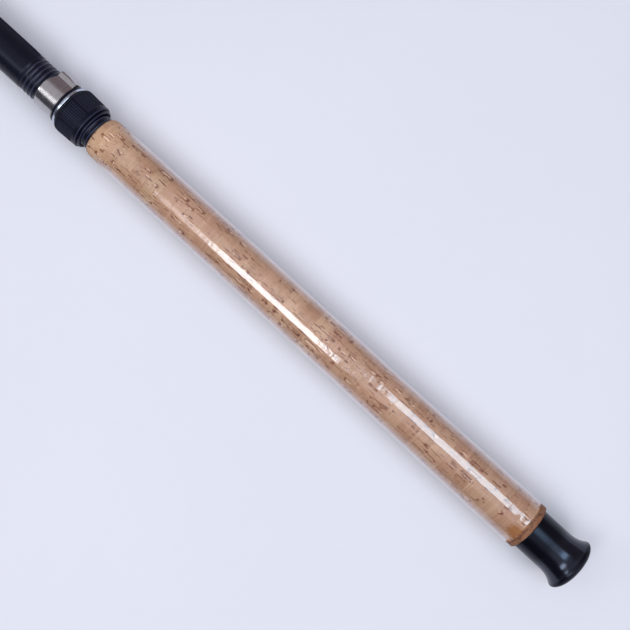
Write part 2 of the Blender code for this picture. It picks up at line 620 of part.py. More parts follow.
def make_foregrip(parent, grip_material, ring_material):
    """Short foam foregrip in front of the seat, and its trim ring."""
    bore = blank_radius(FOREGRIP_REAR) + SEAT_GAP
    rear = FOREGRIP_REAR_RADIUS
    front = FOREGRIP_FRONT_RADIUS
    size = FOREGRIP_ROUND
    profile = arc(front - size, FOREGRIP_LENGTH - size, size, size, 90, 0, 3)
    profile += arc(rear - size, size, size, size, 0, -90, 3)
    profile += [(bore, 0.0), (bore, FOREGRIP_LENGTH)]
    turned("foregrip", profile, grip_material, parent, FOREGRIP_REAR, STEPS_MID)
    bore = blank_radius(CHECK_REAR) + SEAT_GAP
    profile = [(CHECK_FRONT_RADIUS, CHECK_LENGTH), (CHECK_REAR_RADIUS, CHECK_LENGTH / 2),
               (CHECK_REAR_RADIUS, 0.0), (bore, 0.0), (bore, CHECK_LENGTH)]
    turned("winding_check", profile, ring_material, parent, CHECK_REAR, STEPS_MID)


def guide_collar(name, guide, outer, flange, material, parent, rear, steps):
    """The collar on the blank, still solid, with a wider lip at its rear where a flange is given."""
    length = guide["collar"]
    edge = guide["wall"] / 2
    profile = [(0.0, length), (outer - edge, length), (outer, length - edge)]
    if flange:
        lip_radius, lip = flange
        profile += [(outer, lip), (lip_radius, lip), (lip_radius, 0.0)]
    else:
        profile += [(outer, edge), (outer - edge, 0.0)]
    profile.append((0.0, 0.0))
    return turned(name + "_frame", profile, material, parent, rear, steps, closed=False)


def add_guide_legs(frame, name, guide, outer, plane, parent, rear):
    """Two side legs in the ring's plane and a strut that runs back, from the collar to the rim."""
    low = outer - guide["wall"] / 2
    grip = guide["radius"] - GUIDE_FRAME_RIM / 2
    height = guide["height"]
    foot = math.radians(GUIDE_LEG_FOOT)
    head = math.radians(GUIDE_LEG_HEAD)
    for side, label in ((-1, "left"), (1, "right")):
        points = [(side * low * math.sin(foot), low * math.cos(foot), plane),
                  (side * grip * math.sin(head), height - grip * math.cos(head), plane)]
        leg = wire(f"{name}_leg_{label}", points, GUIDE_LEG_RADIUS, parent, rear, cutters)
        add_boolean(frame, leg, "UNION")
    points = [(0.0, low, guide["wall"] + GUIDE_LEG_RADIUS), (0.0, height - grip, plane)]
    strut = wire(name + "_strut", points, GUIDE_LEG_RADIUS, parent, rear, cutters)
    add_boolean(frame, strut, "UNION")


def make_guide(name, guide, rear, bore_radius, materials, parent, steps, closed_end=0.0, flange=None):
    """Line guide: a collar on the blank, two side legs and a strut, and a rim that holds the ring.

    closed_end is the solid length at the front of the collar, on the tip guide alone.
    flange is the (radius, thickness) of a lip at the collar's rear, on the floating guide alone.
    """
    outer = bore_radius + guide["wall"]
    length = guide["collar"]
    edge = guide["wall"] / 2
    height = guide["height"]
    rim_outer = guide["radius"]
    rim_inner = rim_outer - GUIDE_FRAME_RIM
    half = GUIDE_RING_WIDTH / 2
    plane = length - half - edge
    frame = guide_collar(name, guide, outer, flange, materials["frame"], parent, rear, steps)
    profile = [(0.0, half), (rim_outer - edge, half), (rim_outer, half - edge),
               (rim_outer, edge - half), (rim_outer - edge, -half), (0.0, -half)]
    rim = turned(name + "_rim", profile, None, parent, rear + plane, steps, closed=False, collection=cutters)
    rim.location.y = height
    add_boolean(frame, rim, "UNION")
    add_guide_legs(frame, name, guide, outer, plane, parent, rear)
    top = length - closed_end if closed_end else length + CUT_MARGIN
    bore = cutter_bar(name + "_bore", bore_radius, -CUT_MARGIN, top, parent, rear, steps)
    add_boolean(frame, bore, "DIFFERENCE")
    ring_seat = cutter_bar(name + "_seat", rim_inner, -CUT_MARGIN, CUT_MARGIN, parent, rear + plane, steps)
    ring_seat.location.y = height
    add_boolean(frame, ring_seat, "DIFFERENCE")
    seat = rim_inner - SEAT_GAP
    middle = (seat + guide["bore"]) / 2
    inside = arc(middle, 0.0, seat - middle, half + edge / 2, -100, -260, 4)
    ring = turned(name + "_ring", [(seat, half), (seat, -half)] + inside, materials["ring"],
                  parent, rear + plane, steps)
    ring.location.y = height


def make_section(name, mouth, rear_radius, mouth_radius, wall, material, parent):
    """A middle section: a tapering tube nested in the one before it."""
    profile = tube(SECTION_REAR, mouth, rear_radius, mouth_radius, rear_radius - wall, mouth_radius - wall)
    turned(name, profile, material, parent, SECTION_REAR, STEPS_SMALL)


def make_tip_section(parent, material):
    """The thin front section: its bore narrows with the taper and ends short of the tip."""
    length = TIP_END - SECTION_REAR
    profile = [(0.0, length), (TIP_END_RADIUS, length), (TIP_BUTT_RADIUS, 0.0),
               (TIP_BUTT_RADIUS - TIP_WALL, 0.0), (0.0, TIP_BORE_SHARE * length)]
    turned("tip_section", profile, material, parent, SECTION_REAR, STEPS_SMALL, closed=False)


def build():
    rubber = new_material("rubber", (0.012, 0.012, 0.016), 0.45)
    plastic = new_material("black_plastic", (0.018, 0.02, 0.03), 0.35)
    foam = new_material("black_foam", (0.02, 0.02, 0.022), 0.9)
    cork = new_material("cork", (0.50, 0.32, 0.20), 0.7)
    film = new_material("clear_film", (0.9, 0.9, 0.9), 0.06, alpha=0.2)
    steel = new_material("brushed_steel", (0.62, 0.60, 0.58), 0.3, 1.0)
    chrome = new_material("bright_ring", (0.75, 0.76, 0.80), 0.18, 1.0)
    carbon = new_material("carbon_blank", (0.025, 0.027, 0.03), 0.25)
    frame = new_material("guide_frame", (0.05, 0.05, 0.055), 0.3, 1.0)
    ceramic = new_material("guide_ring", (0.10, 0.10, 0.11), 0.15)
    guide_materials = {"frame": frame, "ring": ceramic}

    root = bodies["root"]
    make_butt_cap(root, rubber)
    make_plug(root, plastic, rubber)
    make_butt_blank(root, carbon)
    make_cork_rings(root, cork)
    make_film(root, film)
    make_seat_body(root, plastic)
    make_hood("fixed_hood", FIXED_HOOD_REAR, -1, steel, root)
    make_foregrip(root, foam, chrome)
    make_guide("guide_1", GUIDE_1, BLANK_MOUTH - GUIDE_1["collar"], BLANK_MOUTH_RADIUS + SEAT_GAP,
               guide_materials, root, STEPS_MID)

    make_hood("moving_hood", HOOD_REAR, 1, steel, bodies["hood"])
    make_collar(bodies["hood"], plastic)
    make_trim_ring(bodies["nut"], chrome)
    make_lock_nut(bodies["nut"], plastic)

    make_section("section_2", SECTION_2_MOUTH, SECTION_2_BUTT_RADIUS, SECTION_2_MOUTH_RADIUS,
                 SECTION_2_WALL, carbon, bodies["section_2"])
    make_section("section_3", SECTION_3_MOUTH, SECTION_3_BUTT_RADIUS, SECTION_3_MOUTH_RADIUS,
                 SECTION_3_WALL, carbon, bodies["section_3"])
    make_tip_section(bodies["tip"], carbon)
    make_guide("guide_2", GUIDE_2, GUIDE_2_REAR, SECTION_2_MOUTH_RADIUS + SEAT_GAP,
               guide_materials, bodies["section_2"], STEPS_SMALL)
    make_guide("guide_3", GUIDE_3, GUIDE_3_REAR, SECTION_3_MOUTH_RADIUS + SEAT_GAP,
               guide_materials, bodies["section_3"], STEPS_SMALL)
    make_guide("float_guide", FLOAT_GUIDE, FLOAT_REAR, FLOAT_BORE_RADIUS,
               guide_materials, bodies["float_guide"], STEPS_FINE,
               flange=(SECTION_3_MOUTH_RADIUS, FLOAT_FLANGE))
    make_guide("tip_guide", TIP_GUIDE, TIP_TUBE_REAR, TIP_END_RADIUS + SEAT_GAP,
               guide_materials, bodies["tip"], STEPS_FINE, closed_end=TIP_TUBE_OVERHANG)


for old in list(bpy.data.objects):
    bpy.data.objects.remove(old)

parts = new_collection("carp_rod")
cutters = new_collection("carp_rod_tools")

# One empty on the rod's axis for each body; they hang together as the real pieces do
bodies = {}
for body_name, parent_name in (
    ("root", None), ("hood", "root"), ("nut", "hood"), ("section_2", "root"),
    ("section_3", "section_2"), ("tip", "section_3"), ("float_guide", "tip"),
):
    empty = bpy.data.objects.new(body_name + "_axis", None)
    parts.objects.link(empty)
    empty.parent = bodies.get(parent_name)
    bodies[body_name] = empty

build()

# The rod lies down along +X, with its reel side facing -Y
bodies["root"].rotation_euler = (0.0, math.radians(-90), math.radians(180))
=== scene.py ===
import math

import bmesh
import bpy
import numpy as np
from mathutils import Matrix, Vector, noise


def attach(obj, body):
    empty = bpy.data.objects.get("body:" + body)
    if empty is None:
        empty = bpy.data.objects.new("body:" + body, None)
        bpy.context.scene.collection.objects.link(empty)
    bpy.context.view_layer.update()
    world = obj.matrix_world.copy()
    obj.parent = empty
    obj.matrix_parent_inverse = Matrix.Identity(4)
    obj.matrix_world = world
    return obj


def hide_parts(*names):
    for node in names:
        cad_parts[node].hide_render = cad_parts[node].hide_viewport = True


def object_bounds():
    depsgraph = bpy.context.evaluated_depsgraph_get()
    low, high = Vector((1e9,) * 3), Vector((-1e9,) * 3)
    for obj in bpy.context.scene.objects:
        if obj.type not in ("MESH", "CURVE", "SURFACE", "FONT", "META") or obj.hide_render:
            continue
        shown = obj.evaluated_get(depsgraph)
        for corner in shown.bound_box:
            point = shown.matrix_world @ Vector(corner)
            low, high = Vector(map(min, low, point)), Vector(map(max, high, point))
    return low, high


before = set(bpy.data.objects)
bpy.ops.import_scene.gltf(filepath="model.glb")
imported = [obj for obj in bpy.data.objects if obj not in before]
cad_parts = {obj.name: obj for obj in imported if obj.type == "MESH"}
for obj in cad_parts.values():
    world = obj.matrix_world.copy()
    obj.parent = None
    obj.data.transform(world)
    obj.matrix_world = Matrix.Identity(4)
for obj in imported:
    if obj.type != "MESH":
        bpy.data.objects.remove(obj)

# Lengths here are in millimetres unless a name says otherwise. The rod lies along +X from its
# butt end, its reel side faces -Y, and angles round it are counted from straight up towards the
# reel side.
MM = 0.001
CAD_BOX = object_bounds()

# Places along the rod and radii, as in the source
RING_COUNT = 32
RING_LENGTH = 11.65
RING_PITCH = 11.95
RING_GAP = RING_PITCH - RING_LENGTH
CORK_REAR = 40.0
CORK_LENGTH = RING_COUNT * RING_PITCH - RING_GAP
CORK_FRONT = CORK_REAR + CORK_LENGTH
CORK_WAIST = CORK_REAR + 0.43 * CORK_LENGTH
CORK_SHOULDER = 7.0
CORK_BUTT_RADIUS = 16.95
CORK_WAIST_RADIUS = 15.85
CORK_TOP_RADIUS = 15.05
CORK_END_RADIUS = 13.2
SEAT_REAR = 422.4
SEAT_FRONT = 571.3
SEAT_BORE = 10.9
THREAD_END = 485.8
THREAD_PITCH = 3.3
THREAD_ROOT = 12.35
THREAD_CREST = 12.95
NUT_REAR = 427.6
NUT_FRONT = NUT_REAR + 21.2
NUT_RIBBED_FROM = NUT_REAR + 5.6
NUT_SHOULDER = NUT_FRONT - 3.2
RIB_RADIUS_REAR = 16.65
RIB_RADIUS_FRONT = 17.1
HOOD_REAR = 454.0
HOOD_LENGTH = 15.5
FIXED_HOOD_REAR = 552.5
WIRE_RADIUS = 0.9

# The photograph's camera: width and focal length in its pixels, and the roll about its view
PHOTO_WIDTH = 630.0
PHOTO_FOCAL = 983.0
CAMERA_EYE = Vector((205.0, -8.1, 647.6))
CAMERA_AIM = Vector((235.2, -8.1, 0.0))
CAMERA_ROLL = math.radians(42.42)


def blend(a, b, share):
    return a + (b - a) * share


def ease(share):
    share = min(max(share, 0.0), 1.0)
    return 0.5 - 0.5 * math.cos(math.pi * share)


def line(start, end, count):
    """Points that part the way from start to end, both included, into count steps."""
    shares = [i / count for i in range(count + 1)]
    return [(blend(start[0], end[0], s), blend(start[1], end[1], s)) for s in shares]


def arc(centre, reach, start, end, count):
    """Points (x, r) of an ellipse; degrees are counted from +r towards +x."""
    (x, r), (wide, high) = centre, reach
    turns = [math.radians(blend(start, end, i / count)) for i in range(count + 1)]
    return [(x + wide * math.sin(turn), r + high * math.cos(turn)) for turn in turns]


def fillet(points, radii, count):
    """Rounds the corners of an open outline. radii gives one radius for all, or one per point."""
    if not isinstance(radii, list):
        radii = [radii] * len(points)
    almost_straight = math.radians(88)
    done = [points[0]]
    for before, here, after, radius in zip(points, points[1:], points[2:], radii[1:]):
        before, here, after = (np.array(p, float) for p in (before, here, after))
        back, on = before - here, after - here
        reach_back, reach_on = np.linalg.norm(back), np.linalg.norm(on)
        back, on = back / reach_back, on / reach_on
        half = math.acos(max(-1.0, min(1.0, float(back @ on)))) / 2
        if radius <= 0 or half > almost_straight:
            done.append(tuple(here))
            continue
        cut = min(radius / math.tan(half), 0.48 * reach_back, 0.48 * reach_on)
        start, end = here + back * cut, here + on * cut
        for i in range(count + 1):
            s = i / count
            done.append(tuple((1 - s) ** 2 * start + 2 * s * (1 - s) * here + s * s * end))
    done.append(points[-1])
    return done


def cork_radius(x):
    """Radius of the turned cork, with the rounded shoulder at its top."""
    if x < CORK_WAIST:
        share = ease((x - CORK_REAR) / (CORK_WAIST - CORK_REAR))
        radius = blend(CORK_BUTT_RADIUS, CORK_WAIST_RADIUS, share)
    else:
        share = min(1.0, (x - CORK_WAIST) / (CORK_FRONT - CORK_WAIST)) ** 1.5
        radius = blend(CORK_WAIST_RADIUS, CORK_TOP_RADIUS, share)
    foot = CORK_FRONT - CORK_SHOULDER
    if x > foot:
        share = min(1.0, (x - foot) / CORK_SHOULDER)
        radius = blend(CORK_END_RADIUS, radius, math.sqrt(max(0.0, 1 - share * share)))
    return radius


def link_object(name, data):
    obj = bpy.data.objects.new(name, data)
    bpy.context.scene.collection.objects.link(obj)
    return obj


def point_object(obj, middle, right, ahead):
    """Places a camera or lamp that looks ahead; right is where its picture's right side lies."""
    turn = Matrix((right, right.cross(ahead), -ahead)).transposed()
    obj.matrix_world = Matrix.Translation(middle * MM) @ turn.to_4x4()


def face_outward(obj, index):
    """Turns an open sheet's normals away from the rod, as one of its faces shows them."""
    face = obj.data.polygons[index]
    outward = face.center.copy()
    outward.x = 0.0
    if face.normal.dot(outward) < 0:
        obj.data.flip_normals()


class Shape:
    """Gathers sheets of points, in millimetres, into one mesh."""

    def __init__(self):
        self.verts = []
        self.faces = []

    def grid(self, points, wrap_rows=False, wrap_columns=True):
        points = np.asarray(points, float)
        rows, columns = points.shape[:2]
        base = len(self.verts)
        self.verts += [tuple(p) for p in points.reshape(-1, 3) * MM]
        for i in range(rows if wrap_rows else rows - 1):
            here, ahead = base + i * columns, base + (i + 1) % rows * columns
            for j in range(columns if wrap_columns else columns - 1):
                beside = (j + 1) % columns
                self.faces.append((here + j, here + beside, ahead + beside, ahead + j))

    def turn(self, profile, columns=96, centre=(0.0, 0.0), closed=True, radius_at=None):
        """Turns (x, r) points round a line along X through centre (y, z)."""
        y, z = centre
        rows = []
        for x, r in profile:
            row = []
            for j in range(columns):
                angle = math.tau * j / columns
                radius = radius_at(x, r, angle) if radius_at else r
                row.append((x, y - radius * math.sin(angle), z + radius * math.cos(angle)))
            rows.append(row)
        self.grid(rows, wrap_rows=closed)

    def wire(self, start, end, head_swell):
        """A straight round wire, thicker where it is joined on, its ends closed to a point."""
        steps, columns, fade = 12, 20, 1.6
        start, end = Vector(start), Vector(end)
        ahead = (end - start).normalized()
        side = ahead.orthogonal().normalized()
        other = ahead.cross(side)
        turns = [math.tau * j / columns for j in range(columns)]
        rows = [[start] * columns]
        for i in range(steps + 1):
            swell = 0.04 * math.exp(-i / fade) + head_swell * math.exp((i - steps) / fade)
            radius = WIRE_RADIUS * (1 + swell)
            place = start.lerp(end, i / steps)
            rows.append([place + radius * (side * math.cos(turn) + other * math.sin(turn))
                         for turn in turns])
        self.grid(rows + [[end] * columns])

    def object(self, name, sharp=32.0):
        """The mesh as an object, smooth below an angle in degrees; 0 makes it smooth all over."""
        weld = 0.000001
        bm = bmesh.new()
        verts = [bm.verts.new(v) for v in self.verts]
        for corners in self.faces:
            bm.faces.new([verts[i] for i in corners])
        bmesh.ops.remove_doubles(bm, verts=bm.verts, dist=weld)
        bmesh.ops.dissolve_degenerate(bm, edges=bm.edges, dist=weld / 2)
        bmesh.ops.recalc_face_normals(bm, faces=bm.faces)
        for face in bm.faces:
            face.smooth = True
        mesh = bpy.data.meshes.new(name)
        bm.to_mesh(mesh)
        bm.free()
        if sharp:
            mesh.set_sharp_from_angle(angle=math.radians(sharp))
        return link_object(name, mesh)


def turned(name, profile, columns, **options):
    shape = Shape()
    shape.turn(profile, columns, **options)
    return shape.object(name)


class Nodes:
    """Short forms that add nodes to one tree. A value is a number, a tuple or a node's output."""

    def __init__(self, tree):
        self.tree = tree

    def feed(self, socket, value):
        if isinstance(value, bpy.types.NodeSocket):
            self.tree.links.new(value, socket)
        elif socket.type == "RGBA":
            socket.default_value = (*value, 1.0)
        else:
            socket.default_value = value

    def add(self, kind, inputs, **settings):
        """Adds a node; inputs are given by number or name, and None leaves one as it is."""
        node = self.tree.nodes.new("ShaderNode" + kind)
        for name, value in settings.items():
            setattr(node, name, value)
        for key, value in inputs.items():
            if value is not None:
                self.feed(node.inputs[key], value)
        return node

    def vector(self, operation, a, b=None, scale=None):
        node = self.add("VectorMath", {0: a, 1: b, "Scale": scale}, operation=operation)
        return node.outputs["Value" if operation == "LENGTH" else "Vector"]

    def parts(self, vector):
        return self.add("SeparateXYZ", {0: vector}).outputs

    def math(self, operation, a, b=None, c=None, clamp=False):
        inputs = {0: a, 1: b, 2: c}
        return self.add("Math", inputs, operation=operation, use_clamp=clamp).outputs[0]

    def plus(self, a, b, clamp=False):
        return self.math("ADD", a, b, clamp=clamp)

    def minus(self, a, b):
        return self.math("SUBTRACT", a, b)

    def times(self, first, *others):
        for other in others:
            first = self.math("MULTIPLY", first, other)
        return first

    def span(self, value, low, high, start=0.0, end=1.0, smooth=True):
        """Maps low..high to start..end, held at both ends."""
        inputs = {0: value, 1: low, 2: high, 3: start, 4: end}
        course = "SMOOTHSTEP" if smooth else "LINEAR"
        return self.add("MapRange", inputs, interpolation_type=course, clamp=True).outputs[0]

    def mix(self, share, a, b):
        return self.add("Mix", {0: share, 6: a, 7: b}, data_type="RGBA").outputs[2]

    def layered(self, colour, layers):
        """Lays tones over a colour, each by its share."""
        for share, tone in layers:
            colour = self.mix(share, colour, tone)
        return colour


class Look(Nodes):
    """A node material. Coordinates are the piece's own, in millimetres."""

    def __init__(self, name, **values):
        self.material = bpy.data.materials.new(name)
        self.material.use_nodes = True
        super().__init__(self.material.node_tree)
        coordinates = self.add("TexCoord", {})
        self.place = self.vector("SCALE", coordinates.outputs["Object"], scale=1 / MM)
        self.normal = None
        self.set(**values)

    def set(self, **values):
        """Sets or links inputs of the shader, a blank in their names written as _."""
        shader = self.tree.nodes["Principled BSDF"]
        for name, value in values.items():
            self.feed(shader.inputs[name.replace("_", " ")], value)

    def along(self):
        return self.parts(self.place)["X"]

    def from_axis(self):
        return self.vector("LENGTH", self.vector("MULTIPLY", self.place, (0.0, 1.0, 1.0)))

    def noise(self, scale, detail=3.0, rough=0.5, place=None, stretch=None, output="Fac"):
        source = self.place if place is None else place
        if stretch:
            source = self.vector("MULTIPLY", source, stretch)
        inputs = {"Vector": source, "Scale": scale, "Detail": detail, "Roughness": rough}
        return self.add("TexNoise", inputs).outputs[output]

    def cells(self, scale, place=None, random=1.0):
        source = self.place if place is None else place
        inputs = {"Vector": source, "Scale": scale, "Randomness": random}
        return self.add("TexVoronoi", inputs).outputs

    def hashed(self, value, output="Value"):
        return self.add("TexWhiteNoise", {"W": value}, noise_dimensions="1D").outputs[output]

    def bump(self, height, distance, strength=1.0):
        """Adds a bump to those before it; its height 0..1 stands for distance millimetres."""
        inputs = {"Height": height, "Distance": distance * MM, "Strength": strength,
                  "Normal": self.normal}
        self.normal = self.add("Bump", inputs).outputs[0]
        self.set(Normal=self.normal)


def cap_rubber():
    look = Look("cap_rubber", IOR=1.45, Specular_Tint=(0.66, 0.74, 1.0))
    cloud = look.noise(0.16, 4.0, 0.6)
    dust = look.noise(1.3, 5.0, 0.7)
    colour = look.mix(cloud, (0.0006, 0.0006, 0.0018), (0.0014, 0.0014, 0.0032))
    dusty = look.times(look.span(dust, 0.62, 0.80), 0.12)
    # Polished flare, a duller neck and a dull end face
    along = look.along()
    flare = look.span(along, 18.0, 26.0, 0.82, 0.38)
    rim = look.span(along, 4.4, 7.0, 0.28, 1.0)
    neck = look.span(along, 18.0, 26.0, 0.0, 0.06)
    end_face = look.span(along, 5.6, 4.2, 0.0, 0.30)
    gloss = look.span(dust, 0.3, 0.7, 0.180, 0.200)
    look.set(Base_Color=look.mix(dusty, colour, (0.03, 0.03, 0.036)),
             Specular_IOR_Level=look.times(flare, rim),
             Roughness=look.plus(gloss, look.plus(neck, end_face)))
    look.bump(look.noise(0.9, 2.0), 0.03)
    look.bump(look.noise(5.0, 3.0, 0.6), 0.008)
    return look


def black_plastic(name, crest=None, shine=0.26):
    """Moulded black plastic. crest(look) gives where raised parts are painted lighter, as a
    painted highlight.
    """
    look = Look(name, IOR=1.45, Specular_IOR_Level=shine, Specular_Tint=(0.78, 0.82, 1.0))
    cloud = look.noise(0.25, 3.0)
    speck = look.noise(2.2, 4.0, 0.7)
    colour = look.mix(cloud, (0.0030, 0.0036, 0.0086), (0.0050, 0.0058, 0.0125))
    if crest:
        # Painted highlight: crests and edges are painted lighter, by a random amount, to stand in
        # for their highlights
        painted_crest_highlight = look.times(crest(look), look.span(speck, 0.25, 0.65, 0.65, 1.0))
        colour = look.mix(painted_crest_highlight, colour, (0.043, 0.047, 0.084))
    dusty = look.times(look.span(speck, 0.65, 0.82), 0.16)
    look.set(Base_Color=look.mix(dusty, colour, (0.05, 0.05, 0.06)),
             Roughness=look.span(speck, 0.3, 0.7, 0.26, 0.36))
    look.bump(look.noise(7.0, 2.0, 0.5), 0.008)
    return look


def nut_crest(look):
    """Mask of the painted highlight on the ribs of the nut and on its sharp rear edges."""
    along, radius = look.along(), look.from_axis()
    level = look.span(along, NUT_RIBBED_FROM, NUT_SHOULDER, RIB_RADIUS_REAR, RIB_RADIUS_FRONT,
                      smooth=False)
    raised = look.span(look.minus(radius, level), -0.16, -0.04)
    ribbed = look.times(look.span(along, NUT_RIBBED_FROM - 0.1, NUT_RIBBED_FROM + 0.2),
                        look.span(along, NUT_SHOULDER + 1.0, NUT_SHOULDER - 0.4))
    body_edge = look.times(look.span(along, NUT_REAR + 3.1, NUT_REAR + 2.6),
                           look.span(radius, 15.9, 16.2))
    lip_edge = look.times(look.span(along, NUT_REAR + 0.6, NUT_REAR + 0.2),
                          look.span(radius, 14.6, 14.9))
    # The rear edges are painted lighter as a painted highlight
    edges = look.times(look.plus(body_edge, lip_edge), 0.75)
    return look.plus(look.times(raised, ribbed, 0.85), edges, clamp=True)


def thread_crest(look):
    """Mask of the painted highlight on the crest of the screw thread."""
    raised = look.span(look.from_axis(), THREAD_CREST - 0.11, THREAD_CREST - 0.01)
    return look.times(raised, look.span(look.along(), THREAD_END + 0.7, THREAD_END - 2.3), 0.85)


def foam():
    look = Look("foam", IOR=1.45)
    cell = look.cells(2.6)["Distance"]
    cloud = look.noise(0.2, 3.0)
    colour = look.mix(cloud, (0.013, 0.0138, 0.0172), (0.022, 0.023, 0.0275))
    look.set(Base_Color=look.mix(look.span(cell, 0.25, 0.6), colour, (0.0075, 0.0078, 0.0095)),
             Roughness=look.span(cell, 0.1, 0.6, 0.72, 0.88))
    look.bump(look.noise(0.7, 2.0), 0.10)
    look.bump(look.minus(1.0, cell), 0.10, 0.8)
    return look


def cork():
    """Smooth cork rings: each ring its own tone and grain, with pores, cracks and stains."""
    look = Look("cork", IOR=1.45)
    mean_radius = 16.0
    along, across, up = look.parts(look.place)
    around = look.times(look.math("ARCTAN2", look.times(across, -1.0), up), mean_radius)
    counted = look.math("DIVIDE", look.minus(along, CORK_REAR - RING_GAP / 2), RING_PITCH)
    ring = look.math("FLOOR", counted)
    inside = look.math("FRACT", counted)
    jump = look.vector("SCALE", look.hashed(look.plus(ring, 17.7), "Color"), scale=160.0)
    place = look.vector("ADD", look.place, jump)
    rolled = look.vector("ADD", look.add("CombineXYZ", {0: along, 1: around}).outputs[0], jump)

    # Body colour: clouds, tones of its own for each ring, turning lines and faint stains
    cloud = look.noise(0.13, 4.0, 0.62, place=place)
    grain = look.noise(1.3, 4.0, 0.7, place=place)
    lathe = look.noise(1.0, 3.0, 0.75, stretch=(2.4, 0.03, 0.03))
    stain = look.noise(0.08, 3.0, 0.6, place=place, stretch=(1.4, 1.0, 1.0))
    pale, dark, pink = (look.hashed(look.plus(ring, shift)) for shift in (0.0, 71.3, 43.9))
    tipward = look.span(along, 250.0, 400.0)
    warm = look.mix(tipward, (0.572, 0.348, 0.224), (0.528, 0.332, 0.198))
    deep = look.mix(tipward, (0.450, 0.250, 0.154), (0.430, 0.245, 0.139))
    colour = look.layered(look.mix(look.span(cloud, 0.32, 0.68), deep, warm), (
        (look.span(pale, 0.2, 1.0, 0.0, 0.42, smooth=False), (0.72, 0.485, 0.32)),
        (look.span(dark, 0.50, 1.0, 0.0, 0.55), (0.430, 0.215, 0.125)),
        (look.span(pink, 0.50, 0.95, 0.0, 0.42), (0.510, 0.262, 0.172)),
        (look.span(grain, 0.50, 0.74, 0.0, 0.22), (0.42, 0.228, 0.134)),
        (look.span(along, 230.0, 70.0, 0.0, 0.43), (0.340, 0.165, 0.092)),
        (look.span(lathe, 0.50, 0.66, 0.0, 0.34), (0.36, 0.188, 0.110)),
        (look.span(lathe, 0.48, 0.33, 0.0, 0.34), (0.78, 0.58, 0.42)),
        (look.span(stain, 0.58, 0.74, 0.0, 0.40), (0.42, 0.19, 0.10)),
    ))

    # Lenticels, cracks and pores: short boxes along the grip, their outlines rough and broken
    wobble = look.noise(0.45, 2.0, place=rolled, output="Color")
    wobble = look.vector("SUBTRACT", wobble, (0.5, 0.5, 0.5))
    bent = look.vector("ADD", rolled, look.vector("SCALE", wobble, scale=1.1))
    rough_edge = look.minus(look.noise(1.0, 4.0, 0.75, place=rolled), 0.5)
    broken = look.noise(0.50, 3.0, 0.65, place=rolled)
    crowd = look.times(look.minus(look.noise(0.05, 2.0, place=place), 0.5), 1.5)

    def boxes(cell, half_long, half_wide, rarity, shift, fray):
        """How far a place lies outside the box of its cell, and whether the cell has one."""
        grid = look.vector("ADD", bent, (shift, shift * 1.7, shift * 0.3))
        grid = look.vector("DIVIDE", grid, (*cell, 400.0))
        found = look.cells(1.0, grid, 0.85)
        pick, longer, wider = look.parts(found["Color"])
        offset = look.vector("ABSOLUTE", look.vector("SUBTRACT", grid, found["Position"]))
        offset_long, offset_wide, _ = look.parts(look.vector("MULTIPLY", offset, (*cell, 0.0)))
        from_end = look.minus(offset_long, look.span(longer, 0.0, 1.0, *half_long, smooth=False))
        from_side = look.minus(offset_wide, look.span(wider, 0.0, 1.0, *half_wide, smooth=False))
        outside = look.math("SMOOTH_MAX", look.times(from_end, 0.35), from_side, 0.5)
        outside = look.plus(outside, look.times(rough_edge, fray))
        return outside, look.span(look.plus(pick, crowd), rarity, rarity + 0.03)

    outside, there = boxes(cell=(15.0, 5.0), half_long=(1.8, 6.2), half_wide=(0.35, 1.2),
                           rarity=0.62, shift=0.0, fray=1.2)
    fill = look.times(look.span(outside, 0.0, -0.25), there)
    rim = look.times(look.span(outside, -0.50, -0.15), look.span(outside, 0.62, 0.25), there,
                     look.span(broken, 0.42, 0.48))
    outside, there = boxes(cell=(11.0, 3.6), half_long=(1.4, 5.2), half_wide=(0.14, 0.42),
                           rarity=0.60, shift=31.0, fray=0.9)
    crack = look.times(look.span(outside, 0.06, -0.06), there, look.span(broken, 0.60, 0.53))
    outside, there = boxes(cell=(17.0, 3.2), half_long=(2.5, 8.0), half_wide=(0.08, 0.30),
                           rarity=0.57, shift=83.0, fray=0.6)
    fine_crack = look.times(look.span(outside, 0.06, -0.06), there, look.span(broken, 0.57, 0.51))
    outside, there = boxes(cell=(4.2, 2.6), half_long=(0.2, 1.1), half_wide=(0.10, 0.32),
                           rarity=0.66, shift=57.0, fray=0.6)
    pore = look.times(look.span(outside, 0.10, -0.10), there)

    # Joints show as a faint change of tone
    edge = look.math("MINIMUM", inside, look.minus(1.0, inside))
    glue = look.times(look.span(edge, 0.022, 0.006), look.span(look.noise(0.3, 2.0), 0.42, 0.62))

    # The end at the cap: an orange stain under the film and the darker bare ring, split in places
    spread = look.noise(0.30, 3.0, 0.6)
    down = look.math("DIVIDE", look.minus(along, 47.5), 5.0)
    aside = look.math("DIVIDE", look.plus(around, 7.6), 5.2)
    far = look.plus(look.times(down, down), look.times(aside, aside))
    far = look.plus(far, look.times(look.minus(spread, 0.5), 1.8))
    bare = look.span(look.plus(along, look.times(spread, 2.5)), 46.8, 45.4)
    ragged = look.noise(0.55, 4.0, 0.7, place=rolled, stretch=(1.0, 0.7, 1.0))
    groove = look.times(look.span(along, 42.7, 43.1), look.span(along, 43.9, 43.4),
                        look.span(ragged, 0.40, 0.50))
    split = look.math("MAXIMUM", look.times(look.span(ragged, 0.54, 0.61), bare), groove)

